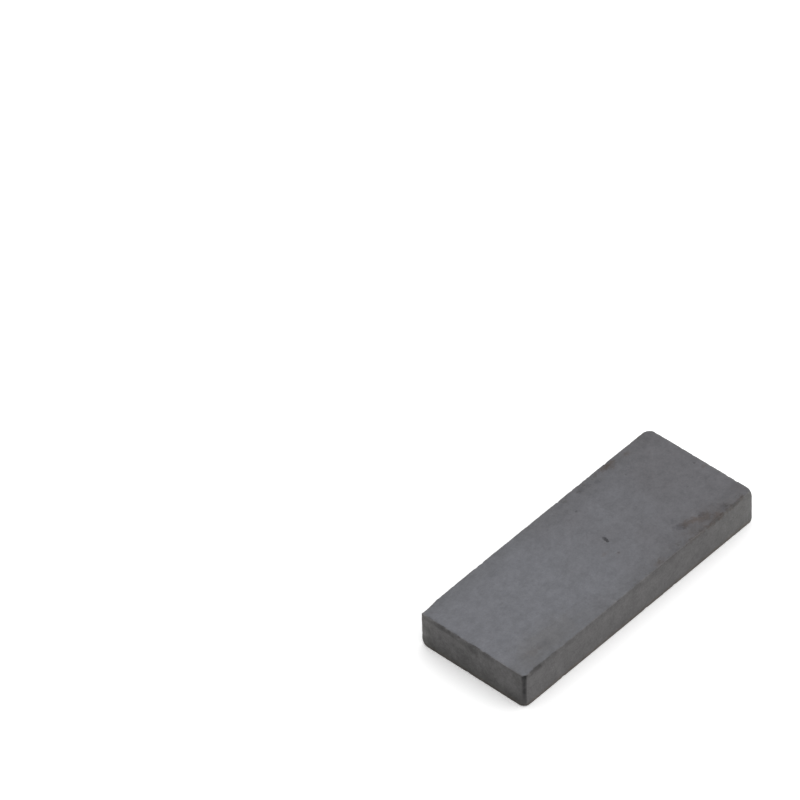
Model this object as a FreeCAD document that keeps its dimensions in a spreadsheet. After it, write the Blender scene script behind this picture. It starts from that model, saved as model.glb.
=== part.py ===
# Block magnet: one sintered ferrite block that lies on a pole face.
# Millimetres. The origin is the middle of the underside, +X runs along the length towards the end
# whose rim has no chips, +Y runs across the width and +Z is up.
import FreeCAD, Part
import Sketcher
import os

doc = FreeCAD.newDocument("block_magnet")

# The block itself.
block_sizes = {
    "block_length": 40,
    "block_width": 16,
    "block_thickness": 5,
    "near_back_corner_radius": 0.4,
    "near_front_corner_bevel": 0.35,
    "far_front_corner_radius": 0.3,
    "far_back_corner_bevel": 0.65,
    "face_edge_radius": 0.2,
}

# Each scar breaks the rim of the upper face. It names the side it sits on and the end or side that
# its place is measured from. Then come that distance, its half length along the rim, how far it
# runs in over the upper face and how far it drops down the side.
scars = {
    "near_end_long_chip": ("near_end", "back", 3.9, 1.85, 0.22, 0.65),
    "near_end_middle_chip": ("near_end", "back", 8.4, 0.7, 0.22, 0.6),
    "near_end_small_chip": ("near_end", "back", 10.2, 0.6, 0.22, 0.45),
    "front_first_chip": ("front", "near", 2.5, 0.8, 0.3, 0.45),
    "front_second_chip": ("front", "near", 5.0, 0.6, 0.25, 0.45),
    "front_middle_chip": ("front", "middle", 0.1, 0.55, 0.25, 0.45),
    "front_spall": ("front", "far", 7.0, 4.2, 2.7, 0.14),
    "front_fourth_chip": ("front", "far", 6.3, 0.75, 0.32, 0.4),
    "front_last_chip": ("front", "far", 3.4, 0.9, 0.35, 0.45),
    "front_corner_nick": ("front", "near", 0.15, 0.6, 0.4, 0.5),
    "back_corner_wear": ("back", "near", 0.5, 1.6, 0.5, 0.25),
}

# Each pit is a hollow in the upper face: its place from the middle of the face along the length
# and across the width, its half length, its half width and its depth.
pits = {
    "middle_pit": (2.75, -0.4, 0.3, 0.6, 0.35),
    "back_pit": (4.0, 5.25, 0.22, 0.2, 0.2),
}

cells = dict(block_sizes)
for name, (side, datum, distance, half_length, run_in, drop) in scars.items():
    cells[f"{name}_from_{datum}"] = distance
    cells[f"{name}_half_length"] = half_length
    cells[f"{name}_run_in"] = run_in
    cells[f"{name}_drop"] = drop
for name, (along, across, half_length, half_width, depth) in pits.items():
    cells[f"{name}_along"] = along
    cells[f"{name}_across"] = across
    cells[f"{name}_half_length"] = half_length
    cells[f"{name}_half_width"] = half_width
    cells[f"{name}_depth"] = depth

sheet = doc.addObject("Spreadsheet::Sheet", "sizes")
for row, (alias, number) in enumerate(cells.items(), 1):
    sheet.set(f"A{row}", alias)
    sheet.set(f"B{row}", str(number))
    sheet.setAlias(f"B{row}", alias)
doc.recompute()

nearness = 1e-6


def size(alias):
    return float(getattr(sheet, alias))


def origin_plane(body, role):
    return next(item for item in body.Origin.OriginFeatures if item.Role == role)


# The outline is a rectangle about the origin.
def draw_outline(body):
    sketch = body.newObject("Sketcher::SketchObject", "outline")
    sketch.AttachmentSupport = (origin_plane(body, "XY_Plane"), [""])
    sketch.MapMode = "FlatFace"
    half_x = size("block_length") / 2
    half_y = size("block_width") / 2
    corners = [(-half_x, -half_y), (half_x, -half_y), (half_x, half_y), (-half_x, half_y)]
    for start, end in zip(corners, corners[1:] + corners[:1]):
        line = Part.LineSegment(FreeCAD.Vector(*start, 0), FreeCAD.Vector(*end, 0))
        sketch.addGeometry(line, False)
    for line in range(4):
        sketch.addConstraint(Sketcher.Constraint("Coincident", line, 2, (line + 1) % 4, 1))
    for line in (0, 2):
        sketch.addConstraint(Sketcher.Constraint("Horizontal", line))
    for line in (1, 3):
        sketch.addConstraint(Sketcher.Constraint("Vertical", line))
    sketch.addConstraint(Sketcher.Constraint("Symmetric", 0, 1, 2, 1, -1, 1))
    along = sketch.addConstraint(Sketcher.Constraint("DistanceX", 0, 1, 0, 2, 2 * half_x))
    across = sketch.addConstraint(Sketcher.Constraint("DistanceY", 1, 1, 1, 2, 2 * half_y))
    sketch.renameConstraint(along, "length")
    sketch.renameConstraint(across, "width")
    sketch.setExpression("Constraints.length", "sizes.block_length")
    sketch.setExpression("Constraints.width", "sizes.block_width")
    return sketch


def pad_block(body, sketch):
    pad = body.newObject("PartDesign::Pad", "pressed_block")
    pad.Profile = sketch
    pad.setExpression("Length", "sizes.block_thickness")
    doc.recompute()


# The upright edge at the corner of the outline that side_x and side_y point to.
def corner_edge(feature, side_x, side_y):
    corner = FreeCAD.Vector(side_x * size("block_length") / 2, side_y * size("block_width") / 2, 0)
    for number, edge in enumerate(feature.Shape.Edges, 1):
        feet = [FreeCAD.Vector(vertex.X, vertex.Y, 0) for vertex in edge.Vertexes]
        if all(foot.isEqual(corner, nearness) for foot in feet):
            return f"Edge{number}"
    raise RuntimeError(f"no upright edge at corner {side_x}, {side_y}")


def round_corner(body, name, side_x, side_y):
    before = body.Tip
    fillet = body.newObject("PartDesign::Fillet", name)
    fillet.Base = (before, [corner_edge(before, side_x, side_y)])
    fillet.setExpression("Radius", f"sizes.{name}_radius")
    doc.recompute()


def bevel_corner(body, name, side_x, side_y):
    before = body.Tip
    chamfer = body.newObject("PartDesign::Chamfer", name)
    chamfer.Base = (before, [corner_edge(before, side_x, side_y)])
    chamfer.setExpression("Size", f"sizes.{name}_bevel")
    doc.recompute()


# The edges all round the upper and the lower face are worn to a small radius.
def soften_face_edges(body):
    before = body.Tip
    names = []
    for number, edge in enumerate(before.Shape.Edges, 1):
        heights = [vertex.Z for vertex in edge.Vertexes]
        if max(heights) - min(heights) < nearness:
            names.append(f"Edge{number}")
    fillet = body.newObject("PartDesign::Fillet", "face_edges")
    fillet.Base = (before, names)
    fillet.setExpression("Radius", "sizes.face_edge_radius")
    doc.recompute()


# Cuts a ball or an ellipsoid out of the block, from formulas for its centre and its radii.
def cut_scoop(body, name, kind, centre, radii):
    volume = body.Tip.Shape.Volume
    scoop = body.newObject(f"PartDesign::Subtractive{kind}", name)
    scoop.AttachmentSupport = (origin_plane(body, "XY_Plane"), [""])
    scoop.MapMode = "FlatFace"
    for axis, formula in zip("xyz", centre):
        scoop.setExpression(f".AttachmentOffset.Base.{axis}", formula)
    for radius, formula in radii.items():
        scoop.setExpression(radius, formula)
    doc.recompute()
    if not 0 < scoop.Shape.Volume < volume:
        raise RuntimeError(f"{name} cuts nothing")


# A scar is the bite of a ball that stands outside the rim. Its centre lies outwards of the side and
# above the upper face, so far that the bite has the scar's length, run-in and drop.
def cut_scar(body, name, side, datum):
    half_length = f"sizes.{name}_half_length"
    run_in = f"sizes.{name}_run_in"
    drop = f"sizes.{name}_drop"
    outwards = f"({half_length}^2 - {run_in}^2) / (2 * {run_in})"
    above = f"({half_length}^2 - {drop}^2) / (2 * {drop})"
    radius = f"sqrt({half_length}^2 + ({outwards})^2 + ({above})^2)"
    distance = f"sizes.{name}_from_{datum}"
    along = {
        "near": f"-sizes.block_length / 2 + {distance}",
        "middle": f"-{distance}",
        "far": f"sizes.block_length / 2 - {distance}",
        "back": f"sizes.block_width / 2 - {distance}",
    }[datum]
    height = f"sizes.block_thickness + {above}"
    centre = {
        "near_end": (f"-sizes.block_length / 2 - {outwards}", along, height),
        "front": (along, f"-sizes.block_width / 2 - {outwards}", height),
        "back": (along, f"sizes.block_width / 2 + {outwards}", height),
    }[side]
    cut_scoop(body, name, "Sphere", centre, {"Radius": radius})


def cut_pit(body, name):
    centre = (f"sizes.{name}_along", f"sizes.{name}_across", "sizes.block_thickness")
    radii = {
        "Radius1": f"sizes.{name}_depth",
        "Radius2": f"sizes.{name}_half_length",
        "Radius3": f"sizes.{name}_half_width",
    }
    cut_scoop(body, name, "Ellipsoid", centre, radii)


body = doc.addObject("PartDesign::Body", "ferrite_block")
body.Label = "ferrite_block"
body.Placement = FreeCAD.Placement()
pad_block(body, draw_outline(body))
round_corner(body, "near_back_corner", -1, 1)
bevel_corner(body, "near_front_corner", -1, -1)
round_corner(body, "far_front_corner", 1, -1)
bevel_corner(body, "far_back_corner", 1, 1)
soften_face_edges(body)
for name, (side, datum, *_) in scars.items():
    cut_scar(body, name, side, datum)
for name in pits:
    cut_pit(body, name)

for item in doc.Objects:
    if "Invalid" in item.State or "Error" in item.State:
        raise RuntimeError(f"{item.Name} failed: {item.State}")
if body.Shape.isNull() or not body.Shape.isValid() or len(body.Shape.Solids) != 1:
    raise RuntimeError(f"{body.Label} isn't one valid solid")

os.makedirs("parts", exist_ok=True)
body.Shape.exportStep(f"parts/{body.Label}.step")
box = body.Shape.optimalBoundingBox(False)
print(f"{body.Label}: {box.XLength:.3f} x {box.YLength:.3f} x {box.ZLength:.3f} mm,"
      f" {body.Shape.Volume:.1f} cubic mm")
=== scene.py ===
import math
import random
import bmesh
import bpy
from mathutils import Matrix, Vector, noise


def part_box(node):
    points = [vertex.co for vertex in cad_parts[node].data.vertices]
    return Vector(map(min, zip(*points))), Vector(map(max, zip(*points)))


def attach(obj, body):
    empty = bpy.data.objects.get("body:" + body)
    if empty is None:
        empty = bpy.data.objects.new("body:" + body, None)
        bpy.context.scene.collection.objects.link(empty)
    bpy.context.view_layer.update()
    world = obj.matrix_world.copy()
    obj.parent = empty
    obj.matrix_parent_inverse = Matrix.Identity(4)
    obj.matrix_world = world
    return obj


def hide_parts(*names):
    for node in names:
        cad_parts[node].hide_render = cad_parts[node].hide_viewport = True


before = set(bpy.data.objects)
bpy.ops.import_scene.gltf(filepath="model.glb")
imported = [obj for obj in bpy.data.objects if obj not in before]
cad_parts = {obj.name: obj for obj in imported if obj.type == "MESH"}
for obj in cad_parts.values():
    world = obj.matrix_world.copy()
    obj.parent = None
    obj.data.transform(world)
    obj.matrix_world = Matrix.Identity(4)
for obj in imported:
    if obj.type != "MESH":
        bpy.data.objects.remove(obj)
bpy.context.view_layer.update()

# The block is modelled in metres, and the sizes below are in millimetres.
mm = 0.001
blockLow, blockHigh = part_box("ferrite_block")
blockSize = blockHigh - blockLow
halfLength = blockSize.x / mm / 2
halfWidth = blockSize.y / mm / 2
thickness = blockSize.z / mm

# the block and the grid that it is cut into: finer in a band at the rims, and finer still at the pits
blockShape = {
    "rimRadius": 0.07,
    "footRadius": 0.04,
    "rimSegments": 3,
    "fineStep": 0.1,
    "fineBand": 0.8,
    "coarseStep": 0.22,
    "wallStep": 0.16,
    "pitCuts": 2,
    "pitReach": 1.5,
    "pitMargin": 0.1,
    "touching": 0.001,
    "mergeDistance": 0.002,
    "smoothAngle": 50,
}

# how deep the wear goes, how far it reaches from a rim or an upright edge, and what it leaves marked
blockWear = {
    "unevenness": 0.008,
    "usualWear": 0.35,
    "rimWear": 0.02,
    "footWear": 0.005,
    "rimReach": 0.3,
    "nearCornerWear": 0.07,
    "farCornerWear": 0.015,
    "cornerReach": 0.4,
    "nickReach": 0.5,
    "nickRaggedness": 0.3,
    "breakDepth": 0.09,
    "pitDarkening": 2.5,
    "rubbedReach": 0.35,
    "groundBorder": 0.2,
    "groundDepth": 0.15,
}

# unevenness from noise: swings in a millimetre, height, seed
ripples = {
    "face": (0.35, 0.5, 3.1),
    "wear": (1.3, 1.0, 8.4),
    "fineWear": (4.2, 0.4, 1.9),
    "chip": (1.9, 0.12, 5.2),
    "fineChip": (6.0, 0.048, 2.7),
    "softWear": (1.4, 0.05, 6.6),
    "fineSoftWear": (4.0, 0.025, 4.1),
    "pit": (4.5, 0.35, 9.3),
}

# side x, side y, reach, segments, profile: 0.5 is round and 0.3 is nearly flat
blockCorners = {
    "nearBack": (-1, 1, 0.4, 5, 0.5),
    "nearFront": (-1, -1, 0.35, 3, 0.3),
    "farFront": (1, -1, 0.14, 4, 0.5),
    "farBack": (1, 1, 0.65, 4, 0.32),
}

# The eight points of the block are rubbed blunt: side x, side y, whether it is an upper one, how far
# the wear reaches over the face and how far along the upright edge.
blockPoints = {
    "farFrontTop": (1, -1, True, 0.9, 1.2),
    "farFrontFoot": (1, -1, False, 0.6, 0.8),
    "nearBackTop": (-1, 1, True, 0.8, 0.6),
    "nearBackFoot": (-1, 1, False, 1.25, 1.15),
    "nearFrontTop": (-1, -1, True, 0.6, 0.5),
    "nearFrontFoot": (-1, -1, False, 1.1, 1.1),
    "farBackTop": (1, 1, True, 1.2, 0.6),
    "farBackFoot": (1, 1, False, 1.0, 0.7),
}

# side, place on the rim (x, y), half length along the rim, run over the face, drop down the side,
# and how dark the break is
rimScars = {
    "nearEndLong": ("nearEnd", -halfLength, halfWidth - 3.9, 1.85, 0.12, 0.4, 0.2),
    "nearEndMiddle": ("nearEnd", -halfLength, halfWidth - 8.4, 0.7, 0.14, 0.6, 0.35),
    "nearEndSmall": ("nearEnd", -halfLength, halfWidth - 10.2, 0.6, 0.12, 0.4, 0.2),
    "frontFirst": ("front", -halfLength + 2.3, -halfWidth, 0.8, 0.25, 0.45, 0.75),
    "frontSecond": ("front", -halfLength + 5.0, -halfWidth, 0.6, 0.16, 0.35, 0.2),
    "frontMiddle": ("front", -0.1, -halfWidth, 0.55, 0.1, 0.24, 0.05),
    "frontFourth": ("front", halfLength - 6.3, -halfWidth, 0.75, 0.3, 0.4, 0.5),
    "frontLast": ("front", halfLength - 3.4, -halfWidth, 0.9, 0.3, 0.4, 0.45),
    "frontCornerNick": ("front", -halfLength + 0.1, -halfWidth, 0.5, 0.24, 0.55, 1.0),
}
# shallow wear, with no fresh break: side, place on the rim (x, y), half length, run and drop
softScars = {
    "spall": ("front", halfLength - 7.0, -halfWidth, 4.2, 2.7, 0.14),
    "wornCorner": ("back", -halfLength + 1.1, halfWidth, 1.9, 0.55, 0.36),
    "wornBackRim": ("back", -halfLength + 3.5, halfWidth, 5.5, 0.2, 0.1),
    "wornFarRim": ("farEnd", halfLength, halfWidth - 1.5, 2.0, 0.09, 0.06),
}

# Runs of random nicks along a rim of the upper face: side, where the run starts and ends along that
# rim, how many, and the ranges of their half lengths and depths. The last is how dark they are.
nickRuns = {
    "nearEndLong": ("nearEnd", 2.2, 6.7, 16, (0.2, 0.6), (0.06, 0.18), 0.2),
    "nearEndMiddle": ("nearEnd", -3.0, 2.2, 11, (0.15, 0.4), (0.05, 0.18), 0.4),
    "nearEndFront": ("nearEnd", -7.4, -3.0, 5, (0.1, 0.3), (0.04, 0.1), 0.2),
    "frontNear": ("front", -18.9, -15.8, 11, (0.2, 0.55), (0.05, 0.18), 0.7),
    "frontSecond": ("front", -15.8, -11.0, 9, (0.15, 0.4), (0.03, 0.12), 0.35),
    "frontMiddle": ("front", -2.6, 1.6, 7, (0.15, 0.4), (0.05, 0.14), 0.1),
    "frontFar": ("front", 11.0, 18.4, 20, (0.2, 0.6), (0.06, 0.22), 0.5),
}

# Finer nicks lie along all eight rims, rarer on the lower ones. The last two values hold for every
# nick: what is added to its depth, and the largest share of its half length that the depth may be.
rimNicks = {
    "seed": 11,
    "perMillimetre": 0.5,
    "lowerShare": 0.3,
    "cornerGap": 0.6,
    "halfLength": (0.12, 0.4),
    "depth": (0.04, 0.12),
    "darkness": 0.25,
    "addedDepth": 0.05,
    "depthShare": 0.8,
}

# x, y, half length, half width, turn in degrees, depth, darkness
facePits = {
    "middle": (2.75, -0.4, 0.2, 0.55, -8, 0.26, 0.5),
    "middleLeft": (2.2, -0.72, 0.12, 0.1, 0, 0.06, 0.2),
    "back": (4.0, 5.25, 0.18, 0.15, 20, 0.09, 0.3),
    "front": (2.1, -2.9, 0.14, 0.2, 30, 0.05, 0.25),
    "farFront": (15.5, -1.9, 0.14, 0.12, 0, 0.06, 0.25),
    "farEnd": (19.0, 0.1, 0.13, 0.2, 0, 0.07, 0.3),
    "farBack": (12.3, 4.9, 0.12, 0.25, 0, 0.04, 0.15),
}

# The near front corner's bevel gets painted shade out to a reach, and it fades. The painted shade
# grows from the foot up, and is wider in a cap just under the upper rim.
paintedCornerShade = {
    "reach": 0.45,
    "capReach": 0.07,
    "fade": 0.2,
    "footLow": 0.3,
    "footRise": 2.0,
    "capLow": 4.0,
    "capRise": 0.6,
    "strength": 0.96,
    "capPaler": 0.03,
    "faceShare": 0.5,
    "faceDepth": 0.06,
}


def deselectAll():
    if bpy.context.object and bpy.context.object.mode != 'OBJECT':
        bpy.ops.object.mode_set(mode='OBJECT')
    bpy.ops.object.select_all(action='DESELECT')


# in edit mode, selects just the edges or the faces that are wanted
def pickEdges(block, wanted):
    bpy.ops.mesh.select_mode(type='EDGE')
    bpy.ops.mesh.select_all(action='DESELECT')
    mesh = bmesh.from_edit_mesh(block.data)
    for edge in mesh.edges:
        if wanted(edge):
            edge.select = True
    bmesh.update_edit_mesh(block.data)


def pickFaces(block, wanted):
    bpy.ops.mesh.select_mode(type='FACE')
    bpy.ops.mesh.select_all(action='DESELECT')
    mesh = bmesh.from_edit_mesh(block.data)
    for face in mesh.faces:
        if wanted(face):
            face.select = True
    bmesh.update_edit_mesh(block.data)


def onUpperFace(height, depth=0.01):
    return height > thickness - depth


def gridPlaces(low, high, coarseStep):
    step = blockShape["fineStep"]
    band = blockShape["fineBand"]
    places = []
    for index in range(1, round(band / step) + 1):
        places += [low + index * step, high - index * step]
    inner = high - low - 2 * band
    coarseCount = max(1, round(inner / coarseStep))
    for index in range(1, coarseCount):
        places.append(low + band + inner * index / coarseCount)
    return sorted(places)


def addBlock(name):
    deselectAll()
    middle = (blockLow + blockHigh) / 2
    bpy.ops.mesh.primitive_cube_add(size=1, location=middle, scale=blockSize)
    block = bpy.context.object
    block.name = name
    bpy.ops.object.transform_apply(location=True, rotation=True, scale=True)
    bpy.ops.object.mode_set(mode='EDIT')
    near = blockShape["touching"] * mm

    # each upright corner has its own rounding or bevel
    for sideX, sideY, reach, segments, profile in blockCorners.values():
        corner = Vector((sideX * halfLength, sideY * halfWidth)) * mm
        pickEdges(block, lambda edge: all((v.co.xy - corner).length < near for v in edge.verts))
        bpy.ops.mesh.bevel(offset=reach * mm, segments=segments, profile=profile, affect='EDGES')

    # both pole faces have worn rims, the upper one rounder
    for level, radius in ((thickness, "rimRadius"), (0, "footRadius")):
        pickEdges(block, lambda edge: all(abs(v.co.z - level * mm) < near for v in edge.verts))
        bpy.ops.mesh.bevel(offset=blockShape[radius] * mm, segments=blockShape["rimSegments"],
                           profile=0.5, affect='EDGES')

    # cut the block into the grid
    cuts = [
        ((1, 0, 0), gridPlaces(-halfLength, halfLength, blockShape["coarseStep"])),
        ((0, 1, 0), gridPlaces(-halfWidth, halfWidth, blockShape["coarseStep"])),
        ((0, 0, 1), gridPlaces(0, thickness, blockShape["wallStep"])),
    ]
    for normal, places in cuts:
        for place in places:
            bpy.ops.mesh.select_all(action='SELECT')
            bpy.ops.mesh.bisect(plane_co=Vector(normal) * place * mm, plane_no=normal)

    # finer still round the pits
    def nearPit(face):
        spot = face.calc_center_median() / mm
        return onUpperFace(spot.z) and any(
            math.hypot(spot.x - x, spot.y - y)
            < blockShape["pitReach"] * max(length, width) + blockShape["pitMargin"]
            for x, y, length, width, turn, depth, darkness in facePits.values())
    pickFaces(block, nearPit)
    bpy.ops.mesh.subdivide(number_cuts=blockShape["pitCuts"])
    bpy.ops.mesh.select_all(action='SELECT')
    bpy.ops.mesh.remove_doubles(threshold=blockShape["mergeDistance"] * mm)
    bpy.ops.mesh.normals_make_consistent(inside=False)
    bpy.ops.object.mode_set(mode='OBJECT')
    return block


# the ball whose bite leaves a scar of that length, run and drop on the rim
def scarBall(scar, upper=True):
    side, x, y, length, run, drop = scar[:6]
    outwards = (length ** 2 - run ** 2) / (2 * run)
    above = (length ** 2 - drop ** 2) / (2 * drop)
    way = {"nearEnd": (-1, 0), "farEnd": (1, 0), "front": (0, -1), "back": (0, 1)}[side]
    height = thickness + above if upper else -above
    centre = Vector((x + way[0] * outwards, y + way[1] * outwards, height))
    return centre, math.sqrt(length ** 2 + outwards ** 2 + above ** 2)


def ripple(point, name):
    scale, height, seed = ripples[name]
    return height * noise.noise(point * scale + Vector((seed, 1.7 * seed, -0.6 * seed)))


def clamp01(value):
    return max(0.0, min(1.0, value))


# files the nicks of one run by the square millimetres of the rim that they can reach
def addNicks(cells, dice, run, upper):
    side, start, end, count, lengths, depths, darkness = run
    for index in range(count):
        place = dice.uniform(start, end)
        length = dice.uniform(*lengths)
        deepest = rimNicks["depthShare"] * length
        inward = min(dice.uniform(*depths) + rimNicks["addedDepth"], deepest)
        drop = min(dice.uniform(*depths) + rimNicks["addedDepth"], deepest)
        alongX = side in ("front", "back")
        sign = -1 if side in ("nearEnd", "front") else 1
        x = place if alongX else sign * halfLength
        y = sign * halfWidth if alongX else place
        nick = (*scarBall((side, x, y, length, inward, drop), upper), darkness)
        for stepX in (-1, 0, 1):
            for stepY in (-1, 0, 1):
                cells.setdefault((round(x) + stepX, round(y) + stepY, upper), []).append(nick)


def randomNicks():
    dice = random.Random(rimNicks["seed"])
    cells = {}
    for run in nickRuns.values():
        addNicks(cells, dice, run, True)
    for upper, share in ((True, 1), (False, rimNicks["lowerShare"])):
        for side in ("nearEnd", "farEnd", "front", "back"):
            reach = (halfLength if side in ("front", "back") else halfWidth) - rimNicks["cornerGap"]
            count = round(2 * reach * rimNicks["perMillimetre"] * share)
            addNicks(cells, dice, (side, -reach, reach, count, rimNicks["halfLength"],
                                   rimNicks["depth"], rimNicks["darkness"]), upper)
    return cells


# slow unevenness of the ground and the pressed faces, and worn rims and upright edges
def wornSurface(start, normal, rim, upright):
    point = start - normal * blockWear["unevenness"] * (0.5 + ripple(start, "face"))
    worn = max(0, blockWear["usualWear"] + ripple(start, "wear") + ripple(start, "fineWear"))
    if rim < blockWear["rimReach"]:
        wear = blockWear["rimWear" if start.z > thickness / 2 else "footWear"]
        point -= normal * wear * worn * (1 - rim / blockWear["rimReach"])
    if upright < blockWear["cornerReach"]:
        wear = blockWear["nearCornerWear" if start.x < 0 else "farCornerWear"]
        point -= normal * wear * worn * (1 - upright / blockWear["cornerReach"])
    return point


# what lies near one of the eight points is pushed inwards, the nearer the further
def bluntPoints(point):
    for sideX, sideY, upper, reach, rise in blockPoints.values():
        above = thickness - point.z if upper else point.z
        beside = halfLength - sideX * point.x + halfWidth - sideY * point.y
        short = 1 - beside / reach - above / rise
        if short > 0:
            push = Vector((sideX / reach, sideY / reach, (1 if upper else -1) / rise))
            point = point - push * 0.5 * short ** 2 / push.length_squared
    return point


# a point inside a ball is pushed out to its surface: its new place, and how far it moved
def bite(point, centre, radius):
    offset = point - centre
    moved = radius - offset.length
    if moved <= 0:
        return point, 0
    return centre + offset * (radius / offset.length), moved


# how deep and how dark the pits are at a place on the upper face
def pitAt(start):
    depth = 0
    dark = 0
    for x, y, length, width, turn, deepest, darkness in facePits.values():
        away = Vector((start.x - x, start.y - y))
        if away.length < 2 * max(length, width):
            away.rotate(Matrix.Rotation(-math.radians(turn), 2))
            far = math.hypot(away.x / length, away.y / width) + ripple(start, "pit")
            if far < 1:
                depth += deepest * math.sqrt(1 - max(0, far) ** 2)
                dark = max(dark, darkness * min(1, blockWear["pitDarkening"] * (1 - far)))
    return depth, dark


# how much painted shade the near front corner's bevel gets at a point
def paintedCornerShadeAt(start):
    away = (start.xy - Vector((-halfLength, -halfWidth))).length
    cap = clamp01((start.z - paintedCornerShade["capLow"]) / paintedCornerShade["capRise"])
    dark = clamp01((paintedCornerShade["reach"] + paintedCornerShade["capReach"] * cap - away) / paintedCornerShade["fade"])
    dark *= clamp01((start.z - paintedCornerShade["footLow"]) / paintedCornerShade["footRise"])
    dark *= paintedCornerShade["strength"] - paintedCornerShade["capPaler"] * cap
    return paintedCornerShade["faceShare"] * dark if onUpperFace(start.z, paintedCornerShade["faceDepth"]) else dark


# Moves the points inwards for the unevenness, the worn rims, the chips and the pits. It also writes
# what the material needs: how broken, how near a rim, whether ground or as pressed, and how much
# painted shade the near front corner's bevel gets.
def wearBlock(block):
    mesh = block.data
    mesh.update()
    markNames = ("broken", "rubbed", "ground", "corner")
    for name in markNames:
        mesh.attributes.new(name, 'FLOAT', 'POINT')
    marks = {name: mesh.attributes[name].data for name in markNames}
    bigScars = [(*scarBall(scar), scar[6]) for scar in rimScars.values()]
    softBalls = [scarBall(scar) for scar in softScars.values()]
    nicks = randomNicks()
    normals = [Vector(vertex.normal) for vertex in mesh.vertices]
    for vertex, normal in zip(mesh.vertices, normals):
        start = vertex.co / mm
        fromSides = (halfLength - abs(start.x), halfWidth - abs(start.y))
        inward = min(fromSides)
        depth = min(start.z, thickness - start.z)
        rim = max(inward, depth)
        point = bluntPoints(wornSurface(start, normal, rim, max(fromSides)))

        # chips and nicks, and then the shallow wear
        breakage = 0
        rough = ripple(start, "chip") + ripple(start, "fineChip")
        scars = [(*scar, rough) for scar in bigScars]
        if rim < blockWear["nickReach"]:
            cell = (round(start.x), round(start.y), start.z > thickness / 2)
            scars += [(*nick, blockWear["nickRaggedness"] * rough) for nick in nicks.get(cell, [])]
        for centre, radius, darkness, swing in scars:
            point, moved = bite(point, centre, radius + swing)
            breakage = max(breakage, darkness * min(1, moved / blockWear["breakDepth"]))
        soft = ripple(start, "softWear") + ripple(start, "fineSoftWear")
        for centre, radius in softBalls:
            point, moved = bite(point, centre, radius + soft)

        if onUpperFace(start.z):
            pitDepth, pitDark = pitAt(start)
            point.z -= pitDepth
            breakage = max(breakage, pitDark)
        point.x = max(-halfLength, min(halfLength, point.x))
        point.y = max(-halfWidth, min(halfWidth, point.y))
        point.z = max(0, min(thickness, point.z))
        vertex.co = point * mm
        facing = depth < blockWear["groundDepth"]
        marks["broken"][vertex.index].value = breakage
        marks["rubbed"][vertex.index].value = clamp01(1 - rim / blockWear["rubbedReach"])
        marks["ground"][vertex.index].value = (
            clamp01(inward / blockWear["groundBorder"]) if facing else 0.0)
        marks["corner"][vertex.index].value = paintedCornerShadeAt(start)
    mesh.update()


def buildBlock():
    block = addBlock("ferriteBlockWorn")
    print("block cut into", len(block.data.polygons), "faces")
    wearBlock(block)
    deselectAll()
    block.select_set(True)
    bpy.context.view_layer.objects.active = block
    bpy.ops.object.shade_smooth_by_angle(angle=math.radians(blockShape["smoothAngle"]))
    print("block worn")
    return block


# colours are linear
ferriteLook = {
    # the near grey holds the face's own tone and a painted sheen
    "nearGreyAndSheen": (0.148, 0.151, 0.166),
    "farGrey": (0.120, 0.118, 0.127),
    "wallGrey": (0.153, 0.149, 0.149),
    "freshBreak": (0.070, 0.068, 0.068),
    # the colour of the painted shade on the near front corner's bevel
    "cornerShadeGrey": (0.026, 0.026, 0.027),
    "edgeShade": (0.89, 0.89, 0.88),
    "rimShade": (0.92, 0.92, 0.92),
    "brownStain": (0.74, 0.64, 0.57),
    "greyStain": (0.68, 0.68, 0.70),
    "warmShade": (0.92, 0.90, 0.86),
    # a paler tone of the face, also used for painted glints on the front rim
    "paleToneAndGlint": (1.25, 1.24, 1.22),
    "brownRim": (0.66, 0.58, 0.52),
    "greyRim": (0.68, 0.68, 0.67),
    "rimSpeck": (0.74, 0.71, 0.66),
    "endBlotch": (0.69, 0.69, 0.68),
    # painted shade towards the foot of the near end
    "endFootShade": (0.74, 0.74, 0.73),
    "frontUpper": (0.90, 0.90, 0.90),
    # painted contact shade along the foot of the walls, with a warm tint
    "paintedFootShade": (0.92, 0.86, 0.78),
    # painted light on the near end beside its back upright corner
    "paintedCornerLight": (1.22, 1.21, 1.19),
    "farPale": (1.10, 1.11, 1.09),
    "roughness": 0.58,
    "brokenRoughness": 0.85,
    "specular": 0.2,
    "bumpStrength": 0.35,
    "bumpDistance": 0.02,
}

# noises of the ferrite: scale, detail, roughness
ferriteNoises = {
    "cloud": (0.13, 3.0, 0.55),
    "ragged": (1.1, 4.0, 0.65),
    "strokes": (1.0, 3.0, 0.6),
    "tear": (2.2, 4.0, 0.65),
    "specks": (1.5, 3.0, 0.6),
    "wall": (0.3, 4.0, 0.6),
    "smear": (0.9, 4.0, 0.6),
    "mottle": (0.6, 6.0, 0.68),
    "fleck": (2.1, 3.0, 0.6),
    "grain": (4.0, 4.0, 0.7),
}
# How far they swing either way: the first six move the border of a shade, the next four change its
# depth, and the last changes the roughness.
ferriteSwings = {
    "drift": 9,
    "edge": 0.7,
    "warm": 0.35,
    "tear": 0.55,
    "smear": 0.5,
    "foot": 0.15,
    "stroke": 1,
    "mottle": 0.125,
    "fleck": 0.07,
    "grain": 0.085,
    "roughness": 0.04,
}
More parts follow.
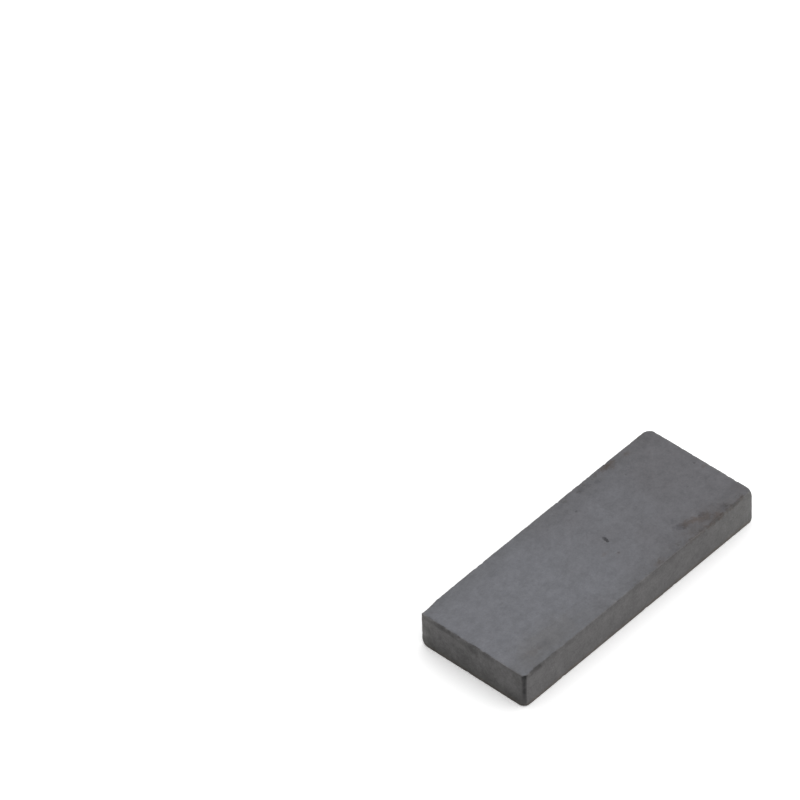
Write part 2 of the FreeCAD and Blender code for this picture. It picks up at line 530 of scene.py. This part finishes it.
# where a shade starts and ends, and its strength there where that isn't 0 and 1
ferriteRanges = {
    "drift": (-14, 22),
    "edge": (4.6, 7.5),
    "lines": (-13, 2, 0.04, 0.01),
    "slants": (-16, 0, 0.01, 0.03),
    "specks": (0.54, 0.66),
    "speckBand": (6.3, 7.4),
    "speckLength": (-6, 6, 0.15, 0.75),
    "farPale": (10, 19),
    "nearWall": (-19.5, -19.8),
    "endFootShade": (2.3, 0.6),
    "frontWall": (-7.6, -7.9),
    "frontUpper": (3.6, 4.6),
    "frontLength": (12, 2, 0.35, 1.0),
    "paintedCornerLight": (5.9, 7.7),
    "paintedFootShade": (0.75, 0.15),
    "rubbing": (0.35, 0.65),
    "patchy": (0.3, 0.6, 0.75, 1.0),
    "patch": (1.25, 0.25),
}
# How much stronger mottle and grain are on the walls, what the near end adds to the mottle and takes
# off the grain, and how dark and how light the slow clouds of the walls are.
ferriteContrast = {
    "wallMottle": 1.1,
    "endMottle": 0.7,
    "wallGrain": 2.1,
    "endGrain": 0.4,
    "wallClouds": (0.94, 1.03),
}
# turn in degrees and stretch
grindingStrokes = {
    "lines": (4, (2.6, 0.4, 1)),
    "slants": (38, (2.4, 0.45, 1)),
}

# stains on the upper face: x, y, half length, half width, turn in degrees, strength
warmPatches = {
    "nearFront": (-14.3, -5.8, 6.8, 2.5, 2, 0.95),
}
brownStains = {
    "spallWide": (12.8, -7.0, 4.4, 1.9, -8, 0.31),
    "spallArchStart": (10.8, -5.75, 1.0, 0.6, -5, 0.9),
    "spallArch": (11.8, -6.0, 1.1, 0.6, -8, 1.0),
    "spallArchDark": (12.6, -6.45, 0.7, 0.7, 0, 0.95),
    "spallArchFall": (13.4, -6.6, 0.9, 0.75, -30, 0.85),
    "spallRedDark": (14.3, -7.6, 1.1, 0.9, 0, 0.95),
    "spallRimDark": (13.0, -7.95, 0.7, 0.5, 0, 0.9),
    "spallRimSpot": (12.0, -7.7, 0.4, 0.35, 0, 0.55),
    "farRimDark": (16.3, -7.9, 0.9, 0.3, 0, 0.75),
    "farRimLast": (18.0, -7.85, 0.8, 0.4, 0, 0.65),
    "nearBlock": (10.3, -7.3, 1.2, 0.8, 20, 0.35),
    "ringFoot": (9.2, -7.8, 0.9, 0.35, 0, 0.45),
    "farFrontCorner": (19.2, -6.3, 1.0, 0.9, 0, 0.18),
    "backEdge": (11.9, 7.5, 1.5, 0.45, 0, 1.0),
    "backEdgeFall": (12.3, 7.0, 0.5, 0.5, 0, 0.6),
    "backFar": (15.1, 7.15, 0.5, 0.45, 0, 0.7),
    "frontSpot": (4.0, -7.6, 1.1, 0.5, 0, 0.55),
    "middleSmall": (0.9, -1.8, 0.7, 0.35, 10, 0.35),
    "middleSpeck": (2.07, -2.95, 0.35, 0.28, 0, 0.5),
    "farSpeck": (19.35, -1.1, 0.4, 0.3, 0, 0.5),
    "nearWarm": (-16.2, -6.0, 1.4, 0.6, 0, 0.25),
}
greyStains = {
    "spallStart": (9.85, -5.55, 0.9, 0.65, -30, 1.0),
    "spallUpper": (10.1, -4.4, 0.6, 0.5, 0, 0.45),
    "spallCrest": (13.1, -6.05, 0.6, 0.45, 0, 0.7),
    "spallGrey": (15.7, -7.3, 0.8, 0.6, 10, 0.7),
    "spallFlake": (6.8, -7.2, 1.1, 0.35, 75, 0.3),
    "ringNear": (7.6, -6.3, 1.0, 0.3, 75, 0.3),
    "ringFar": (8.5, -7.6, 0.7, 0.3, 40, 0.3),
    "spallSwirl": (11.35, -7.8, 0.35, 0.25, 0, 0.4),
    "backWide": (10.8, 5.4, 5.5, 3.2, 0, 0.14),
    "backSpot": (9.3, 6.6, 0.5, 0.45, 0, 0.65),
    "backOlive": (8.1, 7.1, 0.5, 0.45, 0, 0.75),
    "backOliveSecond": (6.9, 7.1, 0.8, 0.5, 0, 0.7),
    "backOliveThird": (3.2, 7.2, 0.6, 0.4, 0, 0.35),
    "farBackPair": (18.3, 6.8, 0.5, 0.35, 40, 0.3),
    "farBackSecond": (17.4, 6.2, 0.5, 0.3, -20, 0.2),
    "nearFaint": (-14.7, -5.95, 1.4, 0.65, -8, 0.55),
    "nearBack": (-10.2, 5.65, 1.0, 0.5, 0, 0.25),
    "middleBack": (-4.6, 2.7, 1.1, 0.5, 20, 0.2),
    "backFine": (-2.2, 5.25, 1.2, 0.4, 10, 0.2),
}
# paler spots of the face; the first one on the rim is a painted glint
paleSpots = {
    "besidePit": (2.35, -0.65, 0.2, 0.25, 0, 0.8),
    "rimFirstGlint": (-4.14, -7.9, 0.6, 0.5, 0, 1.0),
    "rimSecond": (-2.11, -7.9, 0.4, 0.3, 0, 0.7),
    "insideArch": (12.4, -7.3, 0.45, 0.35, 0, 0.35),
    "besideStain": (17.0, -7.3, 0.6, 0.4, 0, 0.45),
    "nearCorner": (-19.3, -4.4, 0.9, 1.6, -20, 0.3),
    "frontMiddle": (-4.0, -7.0, 4.5, 1.6, 0, 0.14),
    "frontFarther": (4.6, -6.6, 2.5, 1.3, 0, 0.2),
}

# stains and painted glints along the rims: the height of each kind and how far it reaches up and down
# from there
rimLevels = {
    "brown": (4.9, 0.45),
    "grey": (4.75, 0.45),
    "pale": (4.95, 0.3),
}
brownRims = {
    "farLine": (16.6, -8.05, 1.9, 0.35, 0, 0.55),
    "spallRim": (14.4, -8.05, 1.0, 0.4, 0, 0.8),
    "spallRimMiddle": (12.9, -8.05, 1.1, 0.5, 0, 1.0),
    "spallRimNear": (10.1, -8.05, 2.3, 0.35, 0, 0.55),
    "middleLine": (5.0, -8.1, 2.6, 0.3, 0, 0.2),
}
greyRims = {
    "nearLine": (-17.7, -8.1, 1.8, 0.5, 0, 0.9),
    "nearLineSecond": (-15.3, -8.1, 2.2, 0.38, 0, 0.4),
    "nearLineThird": (-11.8, -8.1, 2.6, 0.3, 0, 0.35),
    "middleLine": (-0.3, -8.1, 2.4, 0.3, 0, 0.1),
    "nearBack": (-18.4, 8.0, 1.8, 0.35, 0, 0.7),
}
# painted highlights: small glints on the front rim
frontRimGlints = {
    "chip": (-4.14, -8.0, 0.4, 0.3, 0, 1.0),
    "middle": (0.9, -7.95, 1.5, 0.22, 0, 0.4),
}

# blotches on the near end wall: y, z, half width, half height, strength
endBlotches = {
    "streak": (4.6, 4.58, 3.0, 0.32, 0.8),
    "streakEnd": (3.1, 4.55, 1.1, 0.4, 0.9),
    "shoulder": (0.7, 4.45, 1.6, 0.5, 0.9),
    "drop": (-0.35, 4.35, 0.9, 0.9, 1.0),
    "afterDrop": (-2.2, 4.5, 1.6, 0.4, 0.5),
    "middle": (0.9, 2.1, 1.7, 1.4, 0.7),
    "underStreak": (3.4, 1.8, 1.0, 1.0, 0.15),
    "frontMiddle": (-2.6, 1.7, 1.4, 1.0, 0.6),
    "backUpright": (6.7, 2.4, 0.3, 1.6, 0.4),
    "front": (-6.7, 4.3, 1.1, 1.2, 0.85),
    "frontFoot": (-6.6, 1.2, 0.9, 1.2, 0.4),
}

# a patch with no limit in a direction reaches this far, well past the block
endless = 1000.0


def addNode(tree, kind, inputs=None, **settings):
    node = tree.nodes.new(kind)
    for name, value in settings.items():
        setattr(node, name, value)
    for name, value in (inputs or {}).items():
        if isinstance(value, bpy.types.NodeSocket):
            tree.links.new(value, node.inputs[name])
        else:
            node.inputs[name].default_value = value
    return node


def mathNode(tree, operation, first, second=0.0, clamp=False):
    return addNode(tree, 'ShaderNodeMath', {0: first, 1: second},
                   operation=operation, use_clamp=clamp).outputs[0]


def noiseNode(tree, coords, name):
    scale, detail, roughness = ferriteNoises[name]
    return addNode(tree, 'ShaderNodeTexNoise', {
        "Vector": coords, "Scale": scale, "Detail": detail, "Roughness": roughness}).outputs["Fac"]


def rangeNode(tree, value, fromLow, fromHigh, toLow=0.0, toHigh=1.0, smooth=True):
    return addNode(tree, 'ShaderNodeMapRange', {
        "Value": value, "From Min": fromLow, "From Max": fromHigh, "To Min": toLow, "To Max": toHigh},
        interpolation_type='SMOOTHSTEP' if smooth else 'LINEAR').outputs["Result"]


# a noise lies between about 0.3 and 0.7: this spreads it evenly from one value to another
def spreadNode(tree, value, low, high):
    return rangeNode(tree, value, 0.3, 0.7, low, high, False)


def swingNode(tree, value, name):
    return spreadNode(tree, value, -ferriteSwings[name], ferriteSwings[name])


def placeNode(tree, coords, location=(0, 0, 0), turn=0, scale=(1, 1, 1)):
    return addNode(tree, 'ShaderNodeMapping', {
        "Vector": coords, "Location": location, "Rotation": (0, 0, math.radians(turn)),
        "Scale": scale}, vector_type='TEXTURE').outputs["Vector"]


def mixColour(tree, factor, first, second, blend='MIX'):
    node = addNode(tree, 'ShaderNodeMix', data_type='RGBA', blend_type=blend)
    for index, value in ((0, factor), (6, first), (7, second)):
        if isinstance(value, bpy.types.NodeSocket):
            tree.links.new(value, node.inputs[index])
        elif index == 0:
            node.inputs[index].default_value = value
        else:
            node.inputs[index].default_value = (*value, 1)
    return node.outputs[2]


def tint(tree, colour, mask, shade):
    return mixColour(tree, mask, colour, ferriteLook[shade], 'MULTIPLY')


def greyNode(tree, value):
    return addNode(tree, 'ShaderNodeCombineColor', {"Red": value, "Green": value, "Blue": value}
                   ).outputs[0]


# one mask for a list of soft, ragged patches: centre, half sizes, turn and strength of each
def ragMask(tree, coords, ragged, patches):
    total = None
    for centre, reach, turn, strength in patches:
        local = placeNode(tree, coords, centre, turn, reach)
        far = addNode(tree, 'ShaderNodeVectorMath', {0: local}, operation='LENGTH').outputs["Value"]
        far = mathNode(tree, 'ADD', far, ragged)
        mask = rangeNode(tree, far, *ferriteRanges["patch"], 0.0, strength)
        total = mask if total is None else mathNode(tree, 'MAXIMUM', total, mask)
    return total


# the patches of a face reach as far down as the block goes, those of a rim only a little way
def patchMask(tree, coords, ragged, patches, level=0.0, reachDown=endless):
    return ragMask(tree, coords, ragged, [
        ((x, y, level), (length, width, reachDown), turn, strength)
        for x, y, length, width, turn, strength in patches.values()])


# the ground face drifts from a pale blue grey at the near end to a darker grey at the far end: partly
# its own tone, and partly a painted sheen that is brightest at the near end
def groundColour(tree, spot, axes, ragged, tear):
    across = mathNode(tree, 'ABSOLUTE', axes["Y"])
    drift = mathNode(tree, 'ADD', axes["X"], swingNode(tree, noiseNode(tree, spot, "cloud"), "drift"))
    colour = mixColour(tree, rangeNode(tree, drift, *ferriteRanges["drift"]),
                       ferriteLook["nearGreyAndSheen"], ferriteLook["farGrey"])
    edge = mathNode(tree, 'ADD', across, swingNode(tree, ragged, "edge"))
    colour = tint(tree, colour, rangeNode(tree, edge, *ferriteRanges["edge"]), "edgeShade")
    warm = patchMask(tree, spot, swingNode(tree, ragged, "warm"), warmPatches)
    colour = tint(tree, colour, warm, "warmShade")
    for patches, shade in ((brownStains, "brownStain"), (greyStains, "greyStain"),
                           (paleSpots, "paleToneAndGlint")):
        colour = tint(tree, colour, patchMask(tree, spot, tear, patches), shade)

    # small dirty specks along both long rims, mostly towards the far end
    specks = rangeNode(tree, noiseNode(tree, spot, "specks"), *ferriteRanges["specks"])
    band = mathNode(tree, 'MULTIPLY', rangeNode(tree, across, *ferriteRanges["speckBand"]),
                    rangeNode(tree, axes["X"], *ferriteRanges["speckLength"]))
    return tint(tree, colour, mathNode(tree, 'MULTIPLY', specks, band), "rimSpeck")


# the pressed walls, paler at the far end, and the blotchier near end, with painted shade towards its
# foot and painted light beside its back corner
def wallColour(tree, spot, axes, nearWall):
    clouds = spreadNode(tree, noiseNode(tree, spot, "wall"), *ferriteContrast["wallClouds"])
    wall = mixColour(tree, 1.0, ferriteLook["wallGrey"], greyNode(tree, clouds), 'MULTIPLY')
    wall = tint(tree, wall, rangeNode(tree, axes["X"], *ferriteRanges["farPale"]), "farPale")
    smear = swingNode(tree, noiseNode(tree, spot, "smear"), "smear")
    blotch = ragMask(tree, spot, smear, [
        ((-halfLength, y, z), (endless, width, height), 0, strength)
        for y, z, width, height, strength in endBlotches.values()])
    wall = tint(tree, wall, mathNode(tree, 'MULTIPLY', blotch, nearWall), "endBlotch")
    # painted shade towards the foot of the near end wall
    low = mathNode(tree, 'MULTIPLY', nearWall, rangeNode(tree, axes["Z"], *ferriteRanges["endFootShade"]))
    wall = tint(tree, wall, low, "endFootShade")
    upper = mathNode(tree, 'MULTIPLY', rangeNode(tree, axes["Y"], *ferriteRanges["frontWall"]),
                     rangeNode(tree, axes["Z"], *ferriteRanges["frontUpper"]))
    upper = mathNode(tree, 'MULTIPLY', upper,
                     rangeNode(tree, axes["X"], *ferriteRanges["frontLength"]))
    wall = tint(tree, wall, upper, "frontUpper")
    # painted light on the near end beside its back upright corner
    backLight = mathNode(tree, 'MULTIPLY', nearWall,
                         rangeNode(tree, axes["Y"], *ferriteRanges["paintedCornerLight"]))
    return tint(tree, wall, backLight, "paintedCornerLight")


# Faint grinding strokes on the ground face, along the block near the near end and slanting across it
# elsewhere, and mottle and grain all over. The walls are grainier, and the near end is the most
# mottled.
def grainShade(tree, spot, axes, ground, nearWall, grain):
    strokes = []
    for name, (turn, stretch) in grindingStrokes.items():
        line = noiseNode(tree, placeNode(tree, spot, turn=turn, scale=stretch), "strokes")
        strokes.append(mathNode(tree, 'MULTIPLY', swingNode(tree, line, "stroke"),
                                rangeNode(tree, axes["X"], *ferriteRanges[name])))
    stroke = mathNode(tree, 'ADD', *strokes)
    coarse = mathNode(tree, 'ADD', swingNode(tree, noiseNode(tree, spot, "mottle"), "mottle"),
                      swingNode(tree, noiseNode(tree, spot, "fleck"), "fleck"))
    contrast = mathNode(
        tree, 'ADD', rangeNode(tree, ground, 0, 1, ferriteContrast["wallMottle"], 1.0, False),
        mathNode(tree, 'MULTIPLY', nearWall, ferriteContrast["endMottle"]))
    coarse = mathNode(tree, 'MULTIPLY', coarse, contrast)
    contrast = mathNode(
        tree, 'SUBTRACT', rangeNode(tree, ground, 0, 1, ferriteContrast["wallGrain"], 1.0, False),
        mathNode(tree, 'MULTIPLY', nearWall, ferriteContrast["endGrain"]))
    fine = mathNode(tree, 'MULTIPLY', contrast, swingNode(tree, grain, "grain"))
    shade = mathNode(tree, 'ADD', mathNode(tree, 'ADD', coarse, fine), 1.0)
    return mathNode(tree, 'ADD', shade, mathNode(tree, 'MULTIPLY', stroke, ground))


def ferriteMaterial():
    material = bpy.data.materials.new("groundFerrite")
    material.use_nodes = True
    tree = material.node_tree
    tree.nodes.clear()
    output = tree.nodes.new('ShaderNodeOutputMaterial')
    shader = addNode(tree, 'ShaderNodeBsdfPrincipled', {"Specular IOR Level": ferriteLook["specular"]})
    tree.links.new(shader.outputs[0], output.inputs[0])
    place = addNode(tree, 'ShaderNodeTexCoord').outputs["Object"]
    spot = addNode(tree, 'ShaderNodeMapping', {"Vector": place, "Scale": (1 / mm, 1 / mm, 1 / mm)}
                   ).outputs["Vector"]
    axes = addNode(tree, 'ShaderNodeSeparateXYZ', {0: spot}).outputs
    marks = {name: addNode(tree, 'ShaderNodeAttribute', attribute_name=name).outputs["Fac"]
             for name in ("broken", "rubbed", "ground", "corner")}
    ragged = noiseNode(tree, spot, "ragged")
    grain = noiseNode(tree, spot, "grain")
    tear = swingNode(tree, noiseNode(tree, spot, "tear"), "tear")
    nearWall = rangeNode(tree, axes["X"], *ferriteRanges["nearWall"])
    colour = mixColour(tree, marks["ground"], wallColour(tree, spot, axes, nearWall),
                       groundColour(tree, spot, axes, ragged, tear))

    # stains along the rims, painted glints on the front rim, and painted shade with a warm tint along
    # the foot of the walls
    for patches, level, shade in ((brownRims, "brown", "brownRim"), (greyRims, "grey", "greyRim"),
                                  (frontRimGlints, "pale", "paleToneAndGlint")):
        mask = patchMask(tree, spot, tear, patches, *rimLevels[level])
        colour = tint(tree, colour, mask, shade)
    foot = mathNode(tree, 'ADD', axes["Z"], swingNode(tree, ragged, "foot"))
    colour = tint(tree, colour, rangeNode(tree, foot, *ferriteRanges["paintedFootShade"]), "paintedFootShade")
    shade = grainShade(tree, spot, axes, marks["ground"], nearWall, grain)
    colour = mixColour(tree, 1.0, colour, greyNode(tree, shade), 'MULTIPLY')

    # rubbed rims, fresh breaks and the painted shade on the bevel at the near front corner
    rubbing = mathNode(tree, 'MULTIPLY', marks["rubbed"],
                       rangeNode(tree, ragged, *ferriteRanges["rubbing"]))
    colour = tint(tree, colour, rubbing, "rimShade")
    for mark, texture, shade in (("broken", grain, "freshBreak"), ("corner", ragged, "cornerShadeGrey")):
        patchy = rangeNode(tree, texture, *ferriteRanges["patchy"], False)
        colour = mixColour(tree, mathNode(tree, 'MULTIPLY', marks[mark], patchy), colour,
                           ferriteLook[shade])
    tree.links.new(colour, shader.inputs["Base Color"])

    roughness = rangeNode(tree, marks["broken"], 0, 1, ferriteLook["roughness"],
                          ferriteLook["brokenRoughness"], False)
    roughness = mathNode(tree, 'ADD', roughness, swingNode(tree, ragged, "roughness"), True)
    tree.links.new(roughness, shader.inputs["Roughness"])
    bump = addNode(tree, 'ShaderNodeBump', {
        "Strength": ferriteLook["bumpStrength"], "Distance": ferriteLook["bumpDistance"] * mm,
        "Height": grain})
    tree.links.new(bump.outputs[0], shader.inputs["Normal"])
    return material


# azimuth 0 looks along +Y, elevation is above the horizon, roll turns the view clockwise, and the two
# clips are in metres
cameraPlace = {
    "location": (-467.43, -421.08, 635.65),
    "azimuth": -46.084,
    "elevation": 43.907,
    "roll": 2.38,
    "lens": 347.0,
    "sensor": 36.0,
    "clipStart": 0.05,
    "clipEnd": 50,
}


def addCamera():
    data = bpy.data.cameras.new("photoCamera")
    data.lens = cameraPlace["lens"]
    data.sensor_width = cameraPlace["sensor"]
    data.clip_start = cameraPlace["clipStart"]
    data.clip_end = cameraPlace["clipEnd"]
    camera = bpy.data.objects.new("photoCamera", data)
    bpy.context.scene.collection.objects.link(camera)
    turn = (Matrix.Rotation(math.radians(cameraPlace["azimuth"]), 4, 'Z')
            @ Matrix.Rotation(math.radians(90 - cameraPlace["elevation"]), 4, 'X')
            @ Matrix.Rotation(-math.radians(cameraPlace["roll"]), 4, 'Z'))
    camera.matrix_world = Matrix.Translation(Vector(cameraPlace["location"]) * mm) @ turn
    bpy.context.scene.camera = camera


# The floor is a plain pale grey to the light. The camera sees it lighter, and a reflection sees it
# white, so that it shows white with the block's soft shadow on it.
lightRig = {
    "skyStrength": 0.24,
    "skySeen": 1,
    "sunStrength": 2.53,
    "sunAngle": 138,
    "sunAzimuth": -100,
    "sunElevation": 63,
    "floorGrey": 0.66,
    "floorReflected": 1.0,
    "floorSeen": 1.4,
    "floorRadius": 1500,
    "floorSides": 96,
}


def addFloor():
    deselectAll()
    bpy.ops.mesh.primitive_circle_add(
        vertices=lightRig["floorSides"], radius=lightRig["floorRadius"] * mm,
        fill_type='NGON', location=(0, 0, 0))
    floor = bpy.context.object
    floor.name = "studioFloor"
    material = bpy.data.materials.new("whiteFloor")
    material.use_nodes = True
    tree = material.node_tree
    tree.nodes.clear()
    output = tree.nodes.new('ShaderNodeOutputMaterial')
    path = addNode(tree, 'ShaderNodeLightPath').outputs
    mirrored = mathNode(tree, 'MAXIMUM', path["Is Glossy Ray"], path["Is Transmission Ray"])
    paler = rangeNode(tree, mirrored, 0, 1, lightRig["floorGrey"], lightRig["floorReflected"], False)
    seen = mathNode(tree, 'MULTIPLY', path["Is Camera Ray"], lightRig["floorSeen"])
    paper = addNode(tree, 'ShaderNodeBsdfDiffuse', {
        "Color": greyNode(tree, mathNode(tree, 'MAXIMUM', paler, seen))})
    tree.links.new(paper.outputs[0], output.inputs[0])
    floor.data.materials.append(material)


def addLight():
    scene = bpy.context.scene
    world = bpy.data.worlds.new("studioSky")
    world.use_nodes = True
    scene.world = world
    tree = world.node_tree
    tree.nodes.clear()
    output = tree.nodes.new('ShaderNodeOutputWorld')
    path = addNode(tree, 'ShaderNodeLightPath').outputs
    mirrored = mathNode(tree, 'MAXIMUM', path["Is Glossy Ray"], path["Is Transmission Ray"])
    seen = mathNode(tree, 'MAXIMUM', path["Is Camera Ray"], mirrored)
    strength = rangeNode(tree, seen, 0, 1, lightRig["skyStrength"], lightRig["skySeen"], False)
    sky = addNode(tree, 'ShaderNodeBackground', {"Color": (1, 1, 1, 1), "Strength": strength})
    tree.links.new(sky.outputs[0], output.inputs[0])

    data = bpy.data.lights.new("softKey", 'SUN')
    data.energy = lightRig["sunStrength"]
    data.angle = math.radians(lightRig["sunAngle"])
    key = bpy.data.objects.new("softKey", data)
    scene.collection.objects.link(key)
    key.matrix_world = (Matrix.Rotation(math.radians(lightRig["sunAzimuth"]), 4, 'Z')
                        @ Matrix.Rotation(math.radians(lightRig["sunElevation"] - 90), 4, 'X'))
    scene.view_settings.view_transform = "Standard"


block = buildBlock()
block.data.materials.append(ferriteMaterial())
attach(block, "root")
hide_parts("ferrite_block")
print("ferrite block finished")
addFloor()
addLight()
addCamera()
print("floor, light and camera placed")
